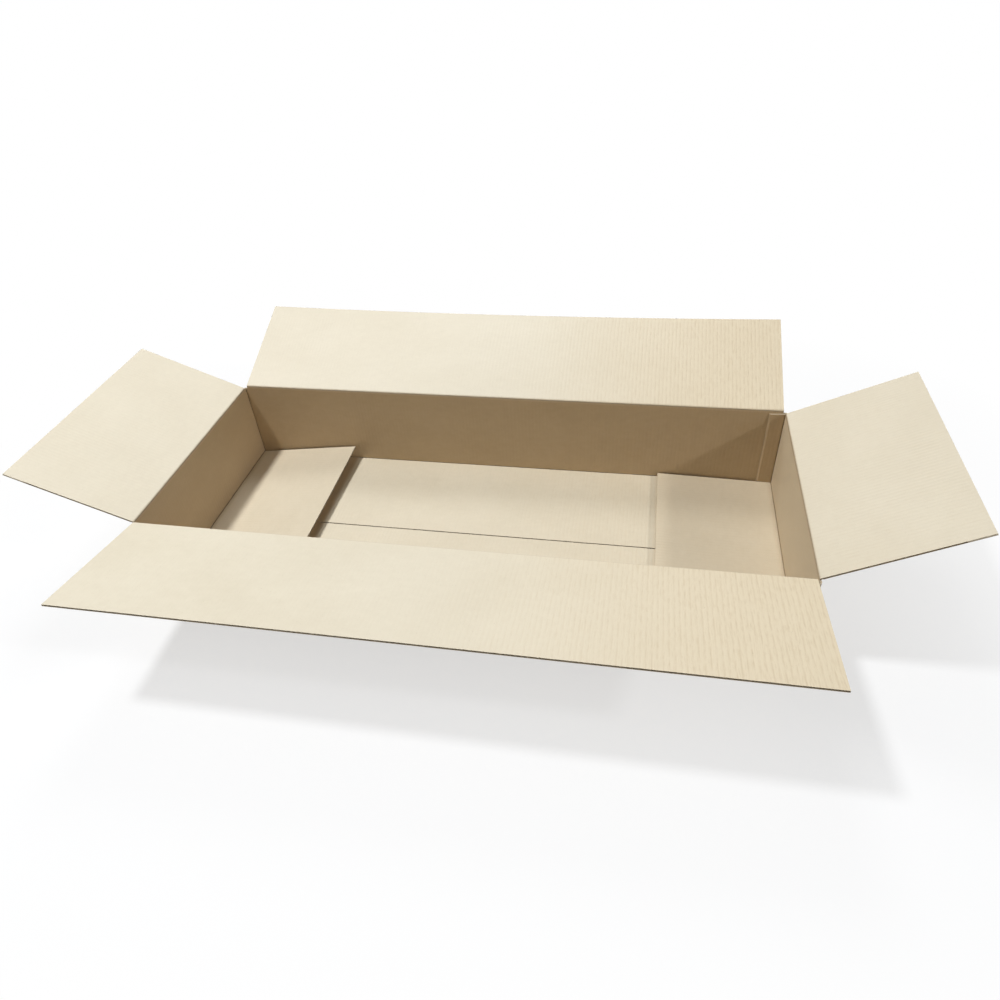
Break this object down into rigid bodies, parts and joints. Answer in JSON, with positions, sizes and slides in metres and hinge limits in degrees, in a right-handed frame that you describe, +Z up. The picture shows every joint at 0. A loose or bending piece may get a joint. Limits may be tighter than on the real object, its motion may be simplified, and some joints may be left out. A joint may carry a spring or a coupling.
{
  "type": "open cardboard box",
  "caption": "Long shallow slotted carton of corrugated board, standing open with its top flaps folded out and loose end flaps on its floor, for packing and shipping goods.",
  "frame": {"origin": "on the floor, under the middle of the box", "axes": "+X along the box towards the end with the glue lap, +Y to the back wall, +Z up"},
  "size_m": [1.3734, 0.7871, 0.2512],
  "materials": {
    "kraft_board": "matt brown kraft liner with faint lines of the fluting under it"
  },
  "bodies": {
    "carton": {"carton_body": "kraft_board"},
    "flap_front": {"top_flap_front": "kraft_board"},
    "flap_back": {"top_flap_back": "kraft_board"},
    "flap_left": {"top_flap_left": "kraft_board"},
    "flap_right": {"top_flap_right": "kraft_board"},
    "floor_flap_left": {"bottom_flap_left": "kraft_board"},
    "floor_flap_right": {"bottom_flap_right": "kraft_board"}
  },
  "joints": [
    {"name": "front_fold", "type": "hinge", "parent": "carton", "child": "flap_front", "pos_m": [0, -0.2015, 0.1591], "axis": [1, 0, 0], "range_deg": [-171, 54]},
    {"name": "back_fold", "type": "hinge", "parent": "carton", "child": "flap_back", "pos_m": [0, 0.2015, 0.1591], "axis": [-1, 0, 0], "range_deg": [-157.5, 67.5]},
    {"name": "left_fold", "type": "hinge", "parent": "carton", "child": "flap_left", "pos_m": [-0.5015, 0, 0.1558], "axis": [0, -1, 0], "range_deg": [-157.5, 67.5]},
    {"name": "right_fold", "type": "hinge", "parent": "carton", "child": "flap_right", "pos_m": [0.5015, 0, 0.1558], "axis": [0, 1, 0], "range_deg": [-152.5, 72.5]},
    {"name": "floor_left_fold", "type": "hinge", "parent": "carton", "child": "floor_flap_left", "pos_m": [-0.4997, 0, 0.0063], "axis": [0, -1, 0], "range_deg": [-6, 79]},
    {"name": "floor_right_fold", "type": "hinge", "parent": "carton", "child": "floor_flap_right", "pos_m": [0.4997, 0, 0.0063], "axis": [0, 1, 0], "range_deg": [-1.7, 83.3]}
  ]
}
